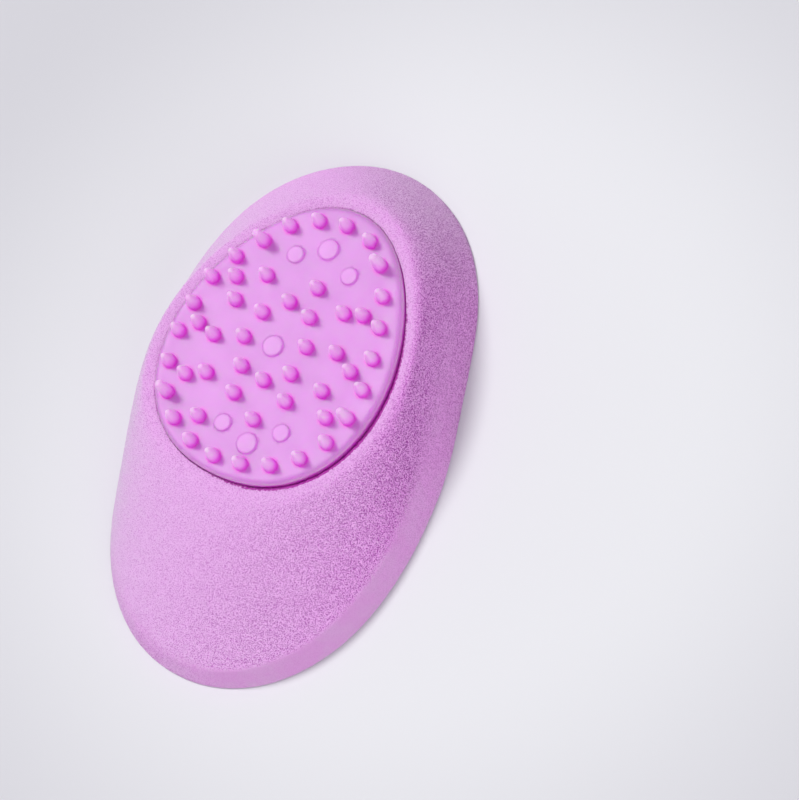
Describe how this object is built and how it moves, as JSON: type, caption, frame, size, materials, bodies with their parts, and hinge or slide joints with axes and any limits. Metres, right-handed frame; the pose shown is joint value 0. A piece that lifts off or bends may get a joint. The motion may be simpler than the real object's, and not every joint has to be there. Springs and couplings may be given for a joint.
{
  "type": "makeup sponge",
  "caption": "Oval foam makeup sponge with a flat back, a crowned front and a glued-in silicone pad of cleansing nubs.",
  "frame": {"origin": "middle of the flat back, at the surface the sponge lies on", "axes": "+Z out of the crowned front, through the nub pad; +Y along the length, towards the nose where the nub pad sits"},
  "size_m": [0.0556, 0.088, 0.017],
  "materials": {
    "foam": "fine open-cell foam, matt",
    "silicone": "smooth moulded silicone, satin",
    "glue": "clear contact glue, cured"
  },
  "bodies": {
    "root": {"foam_body": "foam", "glue_film": "glue", "nub_pad": "silicone"}
  },
  "joints": []
}
